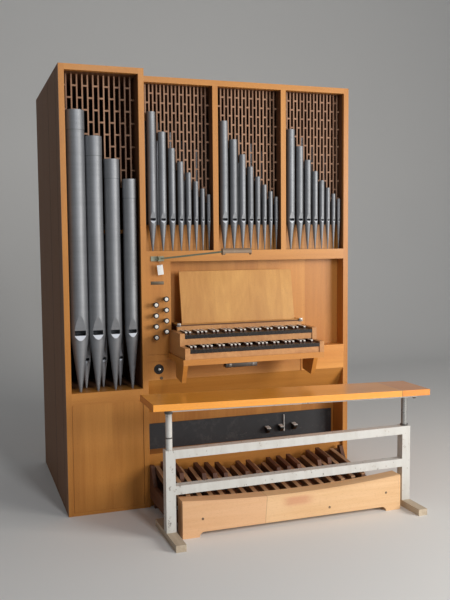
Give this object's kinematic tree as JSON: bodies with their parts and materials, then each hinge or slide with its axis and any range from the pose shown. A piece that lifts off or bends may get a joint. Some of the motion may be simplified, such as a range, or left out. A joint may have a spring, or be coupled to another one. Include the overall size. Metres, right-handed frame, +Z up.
{
  "type": "two-manual pipe organ with bass tower, pedalboard and bench",
  "caption": "Small church organ: wooden case with bass tower, pipe bays under lattice grilles, two manuals, draw stops, concave pedalboard and separate bench.",
  "frame": {"origin": "centre of the case's footprint on the floor", "axes": "+Z up, front of the case towards -Y, +X to the player's right when seated facing the case"},
  "size_m": [1.949, 1.8546, 2.505],
  "materials": {
    "case_wood": "oiled, satin",
    "pale_wood": "plain, satin",
    "grille_wood": "plain",
    "pipe_metal": "aged tin and zinc",
    "dark_wood": "ebony, waxed",
    "sharp_wood": "pale tops",
    "cheek_wood": "satin",
    "kick_black": "matt",
    "pedal_wood": "worn",
    "pedal_front_wood": "plain, satin",
    "seat_wood": "varnished",
    "frame_paint": "worn white paint",
    "chrome": "polished",
    "foot_wood": "grey, worn",
    "black_plastic": "gloss",
    "lamp_green": "satin",
    "lamp_brown": "satin"
  },
  "bodies": {
    "organ": {"tower_sides": "case_wood", "top_boards": "case_wood", "floor_boards": "case_wood", "back_boards": "case_wood", "case_side": "case_wood", "mullions": "case_wood", "tower_chest": "pale_wood", "tower_door": "case_wood", "bay_shelf": "pale_wood", "pipe_supports": "pale_wood", "tower_grille": "grille_wood", "bay_grille_1": "grille_wood", "bay_grille_2": "grille_wood", "bay_grille_3": "grille_wood", "tower_pipes": "pipe_metal", "tower_rear_pipes": "pipe_metal", "bay_pipes_1": "pipe_metal", "bay_pipes_2": "pipe_metal", "bay_pipes_3": "pipe_metal", "inner_pipes": "pipe_metal", "stop_jamb": "case_wood", "console_back": "case_wood", "music_desk": "case_wood", "upper_naturals": "dark_wood", "upper_sharps": "sharp_wood", "lower_naturals": "dark_wood", "lower_sharps": "sharp_wood", "key_cheeks": "cheek_wood", "keydesk_board": "case_wood", "side_ledge": "case_wood", "knee_panel": "case_wood", "lower_panel": "case_wood", "kick_panel": "kick_black", "toe_board": "pale_wood", "toe_levers": "kick_black", "toe_plates": "chrome", "pedal_naturals": "pedal_wood", "pedal_sharps": "pedal_wood", "pedal_front": "pedal_front_wood", "pedal_frame": "pedal_wood", "bench_seat": "seat_wood", "bench_top_frame": "chrome", "bench_frame": "frame_paint", "bench_feet": "foot_wood", "blower_switch": "black_plastic", "lamp_bracket": "lamp_green"},
    "stop_1_knob": {"stop_1": "black_plastic"},
    "stop_2_knob": {"stop_2": "black_plastic"},
    "stop_3_knob": {"stop_3": "black_plastic"},
    "stop_4_knob": {"stop_4": "black_plastic"},
    "stop_5_knob": {"stop_5": "black_plastic"},
    "stop_6_knob": {"stop_6": "black_plastic"},
    "stop_7_knob": {"stop_7": "black_plastic"},
    "stop_8_knob": {"stop_8": "black_plastic"},
    "lamp": {"lamp_arm": "lamp_green", "lamp_shade": "lamp_brown"}
  },
  "joints": [
    {"name": "stop_1_draw", "type": "slide", "parent": "organ", "child": "stop_1_knob", "axis": [0, -1, 0], "range_m": [0, 0.025]},
    {"name": "stop_2_draw", "type": "slide", "parent": "organ", "child": "stop_2_knob", "axis": [0, -1, 0], "range_m": [0, 0.025]},
    {"name": "stop_3_draw", "type": "slide", "parent": "organ", "child": "stop_3_knob", "axis": [0, -1, 0], "range_m": [0, 0.025]},
    {"name": "stop_4_draw", "type": "slide", "parent": "organ", "child": "stop_4_knob", "axis": [0, -1, 0], "range_m": [0, 0.025]},
    {"name": "stop_5_draw", "type": "slide", "parent": "organ", "child": "stop_5_knob", "axis": [0, -1, 0], "range_m": [0, 0.025]},
    {"name": "stop_6_draw", "type": "slide", "parent": "organ", "child": "stop_6_knob", "axis": [0, -1, 0], "range_m": [0, 0.025]},
    {"name": "stop_7_draw", "type": "slide", "parent": "organ", "child": "stop_7_knob", "axis": [0, -1, 0], "range_m": [0, 0.025]},
    {"name": "stop_8_draw", "type": "slide", "parent": "organ", "child": "stop_8_knob", "axis": [0, -1, 0], "range_m": [0, 0.025]},
    {"name": "lamp_swing", "type": "hinge", "parent": "organ", "child": "lamp", "pos_m": [-0.3355, -0.6065, 1.444], "axis": [0, 0, 1], "range_deg": [-35, 25]}
  ]
}
